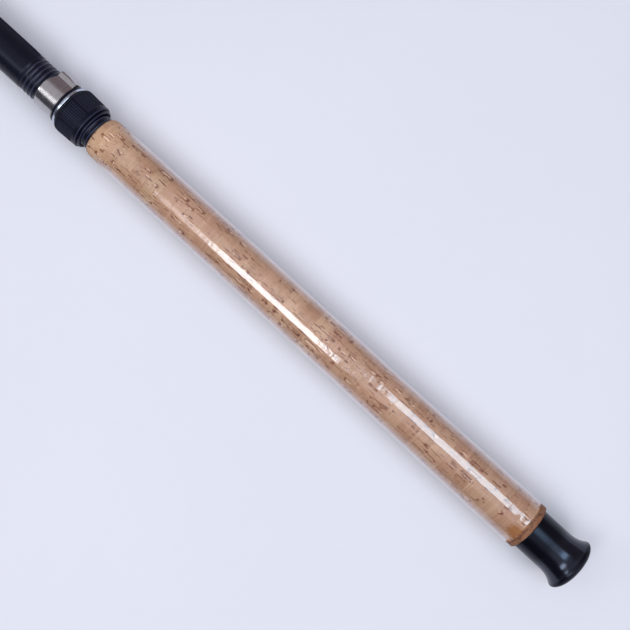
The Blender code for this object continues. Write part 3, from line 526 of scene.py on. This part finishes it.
    colour = look.layered(colour, (
        (look.times(fill, 0.65), (0.80, 0.56, 0.40)),
        (look.times(rim, 0.92), (0.190, 0.048, 0.015)),
        (look.times(crack, 0.92), (0.150, 0.038, 0.012)),
        (look.times(fine_crack, 0.88), (0.185, 0.050, 0.017)),
        (look.times(pore, 0.40), (0.27, 0.105, 0.058)),
        (look.times(glue, 0.22), (0.36, 0.19, 0.12)),
        (look.span(far, 1.6, 0.3, 0.0, 0.85), (0.34, 0.12, 0.020)),
        (look.times(bare, 0.88), (0.195, 0.068, 0.026)),
        (look.times(split, 0.85), (0.050, 0.016, 0.009)),
    ))
    look.set(Base_Color=colour, Roughness=look.span(grain, 0.3, 0.7, 0.58, 0.80))
    dents = look.plus(look.times(crack, 0.7), look.times(pore, 0.5))
    dents = look.plus(dents, look.times(rim, 0.6))
    look.bump(look.minus(1.0, dents), 0.14, 0.7)
    look.bump(lathe, 0.04, 0.5)
    look.bump(grain, 0.04, 0.5)
    return look


def clear_film():
    """Glossy clear sleeve: it only reflects, more so at a glancing angle."""
    look = Look("clear_film", Metallic=1.0)
    look.bump(look.noise(0.20, 2.0, 0.5, stretch=(1.0, 0.8, 0.8)), 0.12, 0.5)
    edge = look.add("LayerWeight", {"Blend": 0.5, "Normal": look.normal}).outputs["Facing"]
    sheen = look.plus(look.times(look.math("POWER", edge, 5.0), 0.88), 0.108)
    veil = look.span(edge, 0.26, 0.80, 0.0, 0.41)
    haze = look.span(look.noise(0.5, 4.0, 0.7), 0.45, 0.8, 0.0, 0.03)
    # It lies flat and dull on the last rings before the seat
    fade = look.span(look.along(), 399.0, 411.0, 1.0, 0.30)
    look.set(Base_Color=look.mix(look.noise(0.10, 3.0), (0.90, 0.90, 0.94), (0.97, 0.97, 1.0)),
             Alpha=look.times(look.plus(look.plus(sheen, veil), haze, clamp=True), fade),
             Roughness=look.span(look.noise(0.25, 3.0), 0.35, 0.65, 0.07, 0.11))
    return look


def brushed(name, colour, pale, rough):
    """Metal with fine brush lines round the rod."""
    look = Look(name, Metallic=1.0)
    brush = look.noise(1.0, 2.0, 0.6, stretch=(1.6, 0.04, 0.04))
    smudge = look.noise(0.18, 3.0, 0.55)
    shade = look.mix(look.span(brush, 0.35, 0.65), colour, pale)
    dull = look.times(look.span(smudge, 0.52, 0.72), 0.18)
    fine = look.span(brush, 0.3, 0.7, rough - 0.002, rough + 0.003)
    look.set(Base_Color=look.mix(dull, shade, tuple(c * 0.62 for c in colour)),
             Roughness=look.plus(fine, look.span(smudge, 0.4, 0.7, 0.0, 0.05)))
    look.bump(brush, 0.0002, 0.3)
    return look


def carbon():
    """Lacquered black blank with faint spiral tape edges."""
    look = Look("blank", IOR=1.5, Coat_Weight=0.8, Coat_Roughness=0.06)
    tape = look.noise(1.0, 2.0, 0.6, stretch=(1.4, 0.05, 0.05))
    fibre = look.noise(3.0, 3.0, 0.7, stretch=(0.05, 1.0, 1.0))
    colour = look.mix(look.span(tape, 0.35, 0.65), (0.010, 0.011, 0.0135), (0.019, 0.0205, 0.024))
    fibrous = look.span(fibre, 0.55, 0.75, 0.0, 0.5)
    look.set(Base_Color=look.mix(fibrous, colour, (0.04, 0.042, 0.047)),
             Roughness=look.span(fibre, 0.3, 0.7, 0.34, 0.5))
    look.bump(tape, 0.03, 0.6)
    return look


def guide_metal():
    look = Look("guide_metal", Metallic=1.0)
    smudge = look.noise(0.35, 4.0, 0.6)
    smudged = look.span(smudge, 0.30, 0.70)
    look.set(Base_Color=look.mix(smudged, (0.060, 0.062, 0.068), (0.078, 0.081, 0.088)),
             Roughness=look.span(smudge, 0.3, 0.7, 0.25, 0.29))
    look.bump(look.noise(5.0, 2.0), 0.002)
    return look


def guide_ceramic():
    look = Look("guide_ceramic", IOR=1.7)
    cloud = look.noise(0.8, 3.0)
    look.set(Base_Color=look.mix(cloud, (0.16, 0.165, 0.18), (0.21, 0.215, 0.23)),
             Roughness=look.span(cloud, 0.3, 0.7, 0.08, 0.14))
    return look


def make_camera():
    """The photograph's view: from above, the butt to the lower right."""
    data = bpy.data.cameras.new("camera")
    data.sensor_fit = "HORIZONTAL"
    data.sensor_width = 36.0
    data.lens = data.sensor_width * PHOTO_FOCAL / PHOTO_WIDTH
    data.clip_start = 0.01
    data.clip_end = 50.0
    ahead = (CAMERA_AIM - CAMERA_EYE).normalized()
    reelward = Vector((0.0, -1.0, 0.0))
    tipward = reelward.cross(ahead)
    right = reelward * math.sin(CAMERA_ROLL) - tipward * math.cos(CAMERA_ROLL)
    camera = link_object("camera", data)
    point_object(camera, CAMERA_EYE, right, ahead)
    bpy.context.scene.camera = camera


def make_floor():
    height = CAD_BOX[0][2] / MM
    reach, shift = 4000.0, 400.0
    ticks = np.linspace(-reach, reach, 9)
    shape = Shape()
    shape.grid([[(x + shift, y, height) for y in ticks] for x in ticks], wrap_columns=False)
    floor = shape.object("floor", sharp=0)
    look = Look("floor", Roughness=0.7)
    cloud = look.noise(0.004, 3.0)
    look.set(Base_Color=look.mix(cloud, (0.640, 0.636, 0.690), (0.672, 0.668, 0.722)))
    floor.data.materials.append(look.material)


def make_sky():
    """Dim overhead and to the sides, with soft lights high up beyond the butt and the tip."""
    world = bpy.data.worlds.new("studio")
    world.use_nodes = True
    bpy.context.scene.world = world
    sky = Nodes(world.node_tree)
    x, y, z = sky.parts(sky.add("TexCoord", {}).outputs["Generated"])
    high = sky.times(sky.span(z, 0.28, 0.60), sky.span(sky.times(y, y), 0.30, 0.08))
    dim = sky.mix(sky.span(y, -0.45, 0.45), (0.25, 0.20, 0.22), (0.075, 0.075, 0.095))
    lit = sky.layered(dim, (
        (sky.span(x, 0.45, 0.85), (0.50, 0.50, 0.55)),
        (sky.span(x, -0.45, -0.85), (0.22, 0.22, 0.25)),
        (sky.span(z, 0.73, 0.90), (0.60, 0.59, 0.64)),
        (sky.times(sky.span(x, 0.42, 0.66), high), (0.60, 0.60, 0.65)),
        (sky.times(sky.span(x, -0.42, -0.66), high), (5.0, 5.0, 5.2)),
        # The camera itself sees a plain backdrop
        (sky.add("LightPath", {}).outputs["Is Camera Ray"], (0.56, 0.555, 0.625)),
    ))
    sky.feed(world.node_tree.nodes["Background"].inputs["Color"], lit)


def add_lamp(name, along, tilt, width, radiance, colour, distance=1600.0):
    """A long soft lamp beside the rod; tilt is its angle from straight up to the reel side."""
    data = bpy.data.lights.new(name, "AREA")
    data.shape = "RECTANGLE"
    data.size = (along[1] - along[0]) * MM
    data.size_y = width * MM
    data.energy = radiance * math.pi * data.size * data.size_y
    data.color = colour
    angle = math.radians(tilt)
    down = Vector((0.0, math.sin(angle), -math.cos(angle)))
    middle = Vector((sum(along) / 2, 0.0, 0.0)) - down * distance
    point_object(link_object(name, data), middle, Vector((1.0, 0.0, 0.0)), down)


def finish_piece(obj, look, slot, body, *nodes):
    obj.data.materials.append(look.material)
    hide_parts(*nodes)
    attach(obj, body)


def dress_node(name, look):
    """Puts a finished material on a CAD node that stays."""
    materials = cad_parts[name].data.materials
    materials.clear()
    materials.append(look.material)


def make_cap(look):
    """Rubber cap with the moulding line round its end."""
    rim, flare_length, flare_swell = 5.0, 15.3, 3.95
    neck, bore, front, floor = 14.95, 10.8, 39.7, 3.0
    groove_place, groove_half, groove_depth = 4.1, 0.20, 0.18
    outer = [(0.0, 0.0), (0.0, 9.8)] + arc((rim, 10.0), (rim, 8.9), -90, -6, 24)
    for i in range(1, 33):
        share = i / 32
        outer.append((rim + flare_length * share, neck + flare_swell * (1 - share) ** 3.1))
    outer += [(38.9, neck), (39.35, 14.88), (39.62, 14.65), (front, 14.2), (front, bore),
              (floor, bore), (floor, 0.0)]
    # Closer points where the moulding line lies
    profile = []
    for start, end in zip(outer, outer[1:]):
        profile += line(start, end, 6 if 2.5 < start[0] < 5.2 and start[1] > 12.0 else 1)[:-1]
    profile.append(outer[-1])

    def radius_at(x, r, angle):
        if r < 12.0 or x > 6.0:
            return r
        return r - groove_depth * math.exp(-((x - groove_place) / groove_half) ** 2)

    cap = turned("cap", profile, 128, closed=False, radius_at=radius_at)
    finish_piece(cap, look, "cap_rubber", "rod", "butt_cap")


def make_cork(look):
    """All rings of the grip, turned and glued into one."""
    edge, groove_depth, unevenness = 0.12, 0.03, 0.10
    profile = []
    for index in range(RING_COUNT):
        rear = CORK_REAR + index * RING_PITCH
        front = rear + RING_LENGTH
        last = index == RING_COUNT - 1
        count = 14 if last else 6
        inner = [blend(rear + edge, front - edge, i / count) for i in range(count + 1)]
        profile += [(x, cork_radius(x)) for x in [rear] + inner + [front]]
        if not last:
            profile.append((front + RING_GAP / 2, cork_radius(front) - groove_depth))
    profile += [(CORK_FRONT, 10.8), (CORK_REAR, 10.9)]

    def radius_at(x, r, angle):
        if r < 12.0 or x < CORK_REAR + 0.01:
            return r
        place = Vector((x * 0.09, math.sin(angle) * 1.3, math.cos(angle) * 1.3))
        return r - unevenness * (0.5 + 0.5 * noise.noise(place))

    shape = Shape()
    shape.turn(profile, 96, radius_at=radius_at)
    nodes = [f"cork_ring_{i + 1:02d}" for i in range(RING_COUNT)]
    finish_piece(shape.object("cork_grip", sharp=40), look, "cork", "rod", *nodes)


def make_film(look):
    """Shrink film over the cork: slightly wavy, puckered where it ends."""
    rows, columns = 420, 144
    gap, least_gap = 0.20, 0.03
    wave_height, print_depth, print_reach = 0.09, 0.015, 0.9
    pucker_height, pucker_reach = 0.20, 4.5
    press_depth, press_reach = 0.10, 2.5
    sides = []
    for j in range(columns):
        angle = math.tau * j / columns
        ring = Vector((math.sin(angle), math.cos(angle), 0.0))
        rear = 45.6 + 1.7 * noise.noise(ring * 1.6 + Vector((3.1, 0.0, 7.0)))
        rear += 0.5 * noise.noise(ring * 6.0)
        front = 414.2 + 0.3 * noise.noise(ring * 2.0 + Vector((0.0, 9.0, 0.0)))
        sides.append((ring, rear, front))
    points = []
    for i in range(rows + 1):
        row = []
        for ring, rear, front in sides:
            x = blend(rear, front, i / rows)
            # Long waves, shallow prints of the joints, puckers at the rear and a tight front end
            wave = noise.noise(Vector((x * 0.045, ring.x * 1.1, ring.y * 1.1)))
            wave += 0.5 * noise.noise(Vector((x * 0.16, ring.x * 2.2, ring.y * 2.2 + 4.0)))
            counted = (x - CORK_REAR) / RING_PITCH
            from_joint = abs(counted - round(counted)) * RING_PITCH
            pucker = noise.noise(Vector((x * 0.32 + ring.x * 1.5, ring.x * 5.5, ring.y * 5.5)))
            lift = gap + wave_height * wave
            lift -= print_depth * math.exp(-(from_joint / print_reach) ** 2)
            lift += pucker_height * pucker * math.exp(-max(0.0, x - rear) / pucker_reach)
            lift -= press_depth * math.exp(-max(0.0, front - x) / press_reach)
            radius = cork_radius(x) + max(lift, least_gap)
            row.append((x, -radius * ring.x, radius * ring.y))
        points.append(row)
    shape = Shape()
    shape.grid(points)
    obj = shape.object("film_sleeve", sharp=0)
    face_outward(obj, len(obj.data.polygons) // 2)
    finish_piece(obj, look, "clear_film", "rod", "grip_film")


def make_seat(look):
    """Moulded reel seat: thread, smooth body with its front lip, and the flat bed."""
    shape = Shape()
    lip_rear = SEAT_FRONT - 3.0
    body = [(484.1, SEAT_BORE), (484.15, 12.4), (THREAD_END, 13.0), (lip_rear, 13.0),
            (lip_rear, 14.0), (SEAT_FRONT, 14.0), (SEAT_FRONT, SEAT_BORE)]
    shape.turn(fillet(body, [0, 0.1, 0.4, 0.15, 0.35, 0.35, 0], 5), 128)

    # Right-hand thread, one profile swept along the helix and faded out in front. It winds from
    # straight up towards the far side as it runs to the tip
    steps, rear_start = 96, SEAT_REAR - 1.6 * THREAD_PITCH - 1.2
    fade_start, fade_reach = THREAD_END - 3.2, 3.0
    outline = fillet([(-0.55, THREAD_ROOT), (0.0, THREAD_ROOT), (0.8, THREAD_CREST),
                      (1.4, THREAD_CREST), (2.2, THREAD_ROOT), (2.75, THREAD_ROOT)], 0.12, 3)
    turns = int((THREAD_END - SEAT_REAR) / THREAD_PITCH) + 3
    rows = []
    for k in range(turns * steps + 1):
        angle = math.tau * k / steps
        row = []
        for along, radius in outline:
            x = rear_start + THREAD_PITCH * k / steps + along
            radius = blend(radius, THREAD_ROOT, ease((x - fade_start) / fade_reach))
            x = min(max(x, SEAT_REAR), THREAD_END - 0.3)
            row.append((x, radius * math.sin(angle), radius * math.cos(angle)))
        rows.append(row)
    shape.grid(rows, wrap_columns=False)
    core, core_front = THREAD_ROOT + 0.02, 484.5
    shape.turn([(SEAT_REAR, SEAT_BORE), (SEAT_REAR, core), (core_front, core),
                (core_front, SEAT_BORE)], 96)

    # Flat bed for the reel foot, and how far its top drops at places along it
    foot, top, half, edge = 8.0, 13.3, 8.6, 0.9
    drops = ((485.0, 0.9), (485.3, 0.6), (486.2, 0.42), (490.2, 0.03), (490.6, 0.0),
             (551.6, 0.0), (552.2, 0.2), (567.9, 0.2))
    rows = []
    for x, drop in drops:
        section = [(-half, foot), (-half, top - drop), (half, top - drop), (half, foot)]
        rows.append([(x, -y, z) for z, y in fillet(section, edge, 8)])
    first, last = ([(x, -foot, z) for x, _, z in row] for row in (rows[0], rows[-1]))
    shape.grid([first] + rows + [last])
    finish_piece(shape.object("seat", sharp=30), look, "black_plastic", "rod", "seat_body")


def make_hood(name, rear, facing, look, body):
    """Bent steel hood with the arched pocket that holds a reel foot."""
    round_radius, half, base, rise = 14.0, 9.6, 13.5, 3.5
    wall_cut, cut_reach = 0.42, math.radians(38.0)
    meet = math.asin(half / round_radius)
    corner = round_radius * math.cos(meet)
    cut_depth, rear_lift, rise_length = 5.5, 0.35, 8.5
    # The sheet's section: places across and towards the reel side, and how far the mouth is cut
    outline = []
    for i in range(97):
        angle = blend(meet, math.tau - meet, i / 96)
        beyond = min(angle - meet, math.tau - meet - angle)
        cut = wall_cut * max(0.0, 1 - beyond / cut_reach)
        outline.append((round_radius * math.sin(angle), round_radius * math.cos(angle), cut))
    outline += [(-half, blend(corner, base, i / 8), wall_cut) for i in range(1, 8)]
    for i in range(41):
        turn = math.pi * i / 40
        cut = blend(wall_cut, 1.0, ease(1 - abs(1 - i / 20)))
        outline.append((-half * math.cos(turn), base + rise * math.sin(turn), cut))
    outline += [(half, blend(base, corner, i / 8), wall_cut) for i in range(1, 8)]
    for _ in range(2):
        threes = zip(outline[-1:] + outline[:-1], outline, outline[1:] + outline[:1])
        outline = [tuple(0.25 * a + 0.5 * b + 0.25 * c for a, b, c in zip(*three))
                   for three in threes]
    rows = []
    for k in range(21):
        row = []
        for across, up, cut in outline:
            run = (HOOD_LENGTH - cut_depth * cut) * k / 20
            lift = blend(rear_lift, 1.0, math.sin(math.pi / 2 * min(1.0, run / rise_length)))
            y = base + (up - base) * lift if up > base else up
            x = rear + (run if facing > 0 else HOOD_LENGTH - run)
            row.append((x, -y, across * facing))
        rows.append(row)
    shape = Shape()
    shape.grid(rows)
    obj = shape.object(name + "_sheet", sharp=0)
    face_outward(obj, 40)
    sheet = obj.modifiers.new("Sheet", "SOLIDIFY")
    sheet.thickness = 0.8 * MM
    sheet.offset = -1.0
    sheet.use_even_offset = True
    edge = obj.modifiers.new("Edge", "BEVEL")
    edge.width = 0.14 * MM
    edge.segments = 3
    edge.limit_method = "ANGLE"
    edge.angle_limit = math.radians(50)
    finish_piece(obj, look, "hood_steel", body, name)


def make_collar(look):
    profile = fillet(
        [(453.7, 13.2), (453.7, 14.7), (451.95, 14.7), (451.95, 13.8), (448.75, 13.8),
         (448.75, 14.25), (447.95, 13.8), (447.95, 13.2)],
        [0, 0.3, 0.3, 0.05, 0.05, 0.1, 0.1, 0], 5)
    finish_piece(turned("collar", profile, 112), look, "black_plastic", "hood", "hood_collar")


def make_trim(look):
    profile = fillet(
        [(449.1, 14.0), (449.1, 14.9), (449.7, 15.6), (451.05, 15.6), (451.65, 14.9),
         (451.65, 14.0)],
        [0, 0.2, 0.45, 0.45, 0.2, 0], 6)
    finish_piece(turned("trim_ring", profile, 128), look, "bright_metal", "nut", "nut_trim_ring")


def make_nut(look):
    """Lock nut with fine ribs, every tenth of them left low."""
    ribs, columns_per_rib = 70, 12
    first = math.radians(12.6)
    least_depth, rib_height, low_rib = 0.04, 0.46, 0.35
    rear_part = ((0.0, 13.8), (0.0, 14.75), (0.1, 15.0), (0.35, 15.1), (1.5, 15.1), (1.75, 14.95),
                 (1.85, 14.4), (2.25, 14.4), (2.3, 16.0), (2.4, 16.35), (2.75, 16.48))
    outer = [(NUT_REAR + x, r) for x, r in rear_part]
    outer += line((NUT_REAR + 3.1, 16.5), (NUT_RIBBED_FROM - 0.1, 16.5), 5)
    outer += line((NUT_RIBBED_FROM, RIB_RADIUS_REAR), (NUT_SHOULDER, RIB_RADIUS_FRONT), 26)[1:]
    outer += arc((NUT_SHOULDER, RIB_RADIUS_FRONT - 1.5), (3.2, 1.5), 0, 90, 14)[1:]
    outer += [(NUT_FRONT, 14.6), (NUT_FRONT, 14.45), (NUT_FRONT - 1.1, 14.45),
              (NUT_FRONT - 1.1, 13.2), (NUT_REAR + 1.6, 13.2)]

    def radius_at(x, r, angle):
        if x < NUT_RIBBED_FROM - 0.05 or r < 15.6:
            return r
        counted = (angle - first) / math.tau * ribs
        height = max(0.0, math.cos(math.tau * counted)) ** 0.6
        if round(counted) % 10 == 1:
            height *= low_rib
        fade = ease((x - NUT_RIBBED_FROM + 0.2) / 0.9)
        fade *= 1 - 0.6 * ease((x - NUT_FRONT + 2.0) / 1.9)
        return r - (least_depth + rib_height * (1 - height)) * fade

    shape = Shape()
    shape.turn(outer, ribs * columns_per_rib, radius_at=radius_at)
    finish_piece(shape.object("nut", sharp=38), look, "black_plastic", "nut", "lock_nut")


def make_foregrip(look):
    rear, front = (573.6, 14.2), (639.6, 12.4)
    profile = [(571.6, 10.4)] + arc((rear[0], 12.2), (2.0, 2.0), -90, 0, 8)
    profile += line(rear, front, 24)[1:-1] + arc((front[0], 10.4), (2.0, 2.0), 0, 90, 8)
    finish_piece(turned("foregrip_foam", profile, 96), look, "foam", "rod", "foregrip")


def make_check(look):
    """Winding check in front of the foregrip."""
    profile = fillet([(641.9, 10.3), (641.9, 12.0), (643.4, 12.0), (644.9, 10.9), (644.9, 10.3)],
                     [0, 0.35, 0.5, 0.3, 0], 6)
    finish_piece(turned("check_ring", profile, 96), look, "bright_metal", "rod", "winding_check")


def make_tube(name, node, body, rear, mouth, wall, look):
    """A tapering blank with an eased mouth edge. rear and mouth are (x, r)."""
    x, r = mouth
    profile = [(rear[0], rear[1] - wall)] + line(rear, mouth, 30)[:-1]
    profile += [(x - 0.25, r), (x, r - 0.25), (x, r - wall)]
    finish_piece(turned(name, profile, 72), look, "blank", body, node)


def make_tip_blank(look):
    rear, mouth = (25.2, 4.9), (839.9, 1.2)
    profile = [(rear[0], 0.0), (rear[0], rear[1] - 0.3), (rear[0] + 0.3, rear[1])]
    profile += line(rear, mouth, 30)[1:] + [(mouth[0], 0.0)]
    blank = turned("tip_blank", profile, 48, closed=False)
    finish_piece(blank, look, "blank", "tip", "tip_section")


def make_guide(name, body, rear, length, bore, wall, height, rim, ring_bore, flange=None,
               closed_end=0.0):
    """A line guide: collar, two side legs, a raked strut, the rim, and the ceramic ring in it."""
    outer, edge, half = bore + wall, wall / 2, 1.5
    front = rear + length
    plane = front - half - edge
    if flange:
        lip, thick = flange
        profile = fillet([(rear, bore), (rear, lip), (rear + thick, lip), (rear + thick, outer),
                          (front, outer), (front, bore)], [0, 0.3, 0.3, 0.1, edge, 0], 5)
    elif closed_end:
        profile = fillet([(rear, bore), (rear, outer), (front, outer), (front, 0.0)],
                         [0, edge, edge * 2, 0], 5)
        profile += [(front - closed_end, 0.0), (front - closed_end, bore)]
    else:
        profile = fillet([(rear, bore), (rear, outer), (front, outer), (front, bore)],
                         [0, edge, edge, 0], 5)
    shape = Shape()
    shape.turn(profile, 72)
    rim_inner = rim - 1.3
    profile = fillet([(plane - half, rim_inner), (plane - half, rim), (plane + half, rim),
                      (plane + half, rim_inner)], [0, 0.55, 0.55, 0], 6)
    shape.turn(profile, 96, centre=(-height, 0.0))

    # The wires start clear of the bore, so the blank slides free
    foot, head = math.radians(50.0), math.radians(35.0)
    low, grip = max(outer - edge, bore + 1.0), rim - 0.65
    for side in (-1, 1):
        shape.wire((plane, -low * math.cos(foot), side * low * math.sin(foot)),
                   (plane, grip * math.cos(head) - height, side * grip * math.sin(head)), 0.25)
    shape.wire((rear + wall + WIRE_RADIUS, -low, 0.0), (plane, grip - height, 0.0), 0.0)
    finish_piece(shape.object(name + "_metal"), metal_look, "guide_metal", body, name + "_frame")

    seat = rim_inner - 0.3
    middle = (seat + ring_bore) / 2
    profile = [(plane - half, seat), (plane + half, seat)]
    profile += arc((plane, middle), (half + edge / 2, middle - seat), 80, -80, 16)
    ring = turned(name + "_insert", profile, 96, centre=(-height, 0.0))
    finish_piece(ring, ceramic_look, "guide_ceramic", body, name + "_ring")


make_camera()
make_floor()
make_sky()
add_lamp("key_lamp", along=(220.0, 600.0), tilt=-26.0, width=768.0, radiance=6.5,
         colour=(0.88, 0.96, 1.0))
add_lamp("faint_lamp", along=(600.0, 760.0), tilt=-26.0, width=700.0, radiance=1.6,
         colour=(1.0, 0.99, 0.98))
add_lamp("seat_lamp", along=(985.0, 1130.0), tilt=-34.0, width=680.0, radiance=2.2,
         colour=(1.0, 0.99, 0.98))
add_lamp("flare_lamp", along=(1290.0, 1460.0), tilt=-36.0, width=420.0, radiance=12.0,
         colour=(0.90, 0.96, 1.0))
add_lamp("butt_lamp", along=(-324.0, 102.0), tilt=15.0, width=820.0, radiance=4.2,
         colour=(0.66, 0.89, 1.04), distance=1530.0)
bpy.context.scene.view_settings.view_transform = "Standard"

rubber_look = cap_rubber()
plastic_look = black_plastic("black_plastic")
seat_look = black_plastic("seat_plastic", thread_crest)
nut_look = black_plastic("nut_plastic", nut_crest, 0.19)
foam_look = foam()
cork_look = cork()
film_look = clear_film()
steel_look = brushed("hood_steel", (0.462, 0.443, 0.449), (0.492, 0.473, 0.479), 0.18)
bright_look = brushed("bright_metal", (0.49, 0.54, 0.62), (0.63, 0.68, 0.78), 0.17)
blank_look = carbon()
metal_look = guide_metal()
ceramic_look = guide_ceramic()

make_cap(rubber_look)
make_cork(cork_look)
make_film(film_look)
make_seat(seat_look)
make_hood("moving_hood", HOOD_REAR, 1, steel_look, "hood")
make_hood("fixed_hood", FIXED_HOOD_REAR, -1, steel_look, "rod")
make_collar(plastic_look)
make_trim(bright_look)
make_nut(nut_look)
make_foregrip(foam_look)
make_check(bright_look)
make_tube("butt_tube", "butt_blank", "rod", (5.6, 10.5), (785.0, 9.8), 1.0, blank_look)
make_tube("second_tube", "section_2", "section_2", (25.2, 8.5), (803.3, 7.9), 0.9, blank_look)
make_tube("third_tube", "section_3", "section_3", (25.2, 6.65), (819.6, 6.0), 0.8, blank_look)
make_tip_blank(blank_look)
make_guide("guide_1", "rod", rear=765.0, length=20.0, bore=10.1, wall=1.0, height=31.0, rim=15.5,
           ring_bore=10.8)
make_guide("guide_2", "section_2", rear=785.3, length=18.0, bore=8.2, wall=1.0, height=23.0,
           rim=10.6, ring_bore=7.2)
make_guide("guide_3", "section_3", rear=803.6, length=16.0, bore=6.3, wall=0.9, height=18.0,
           rim=8.2, ring_bore=5.2)
make_guide("float_guide", "float_guide", rear=819.9, length=10.0, bore=3.2, wall=0.7, height=12.4,
           rim=6.4, ring_bore=3.7, flange=(6.0, 1.2))
make_guide("tip_guide", "tip", rear=830.2, length=12.0, bore=1.5, wall=0.6, height=9.2, rim=5.8,
           ring_bore=3.4, closed_end=2.0)
dress_node("butt_plug", plastic_look)
dress_node("plug_buffer", rubber_look)

bpy.context.view_layer.update()
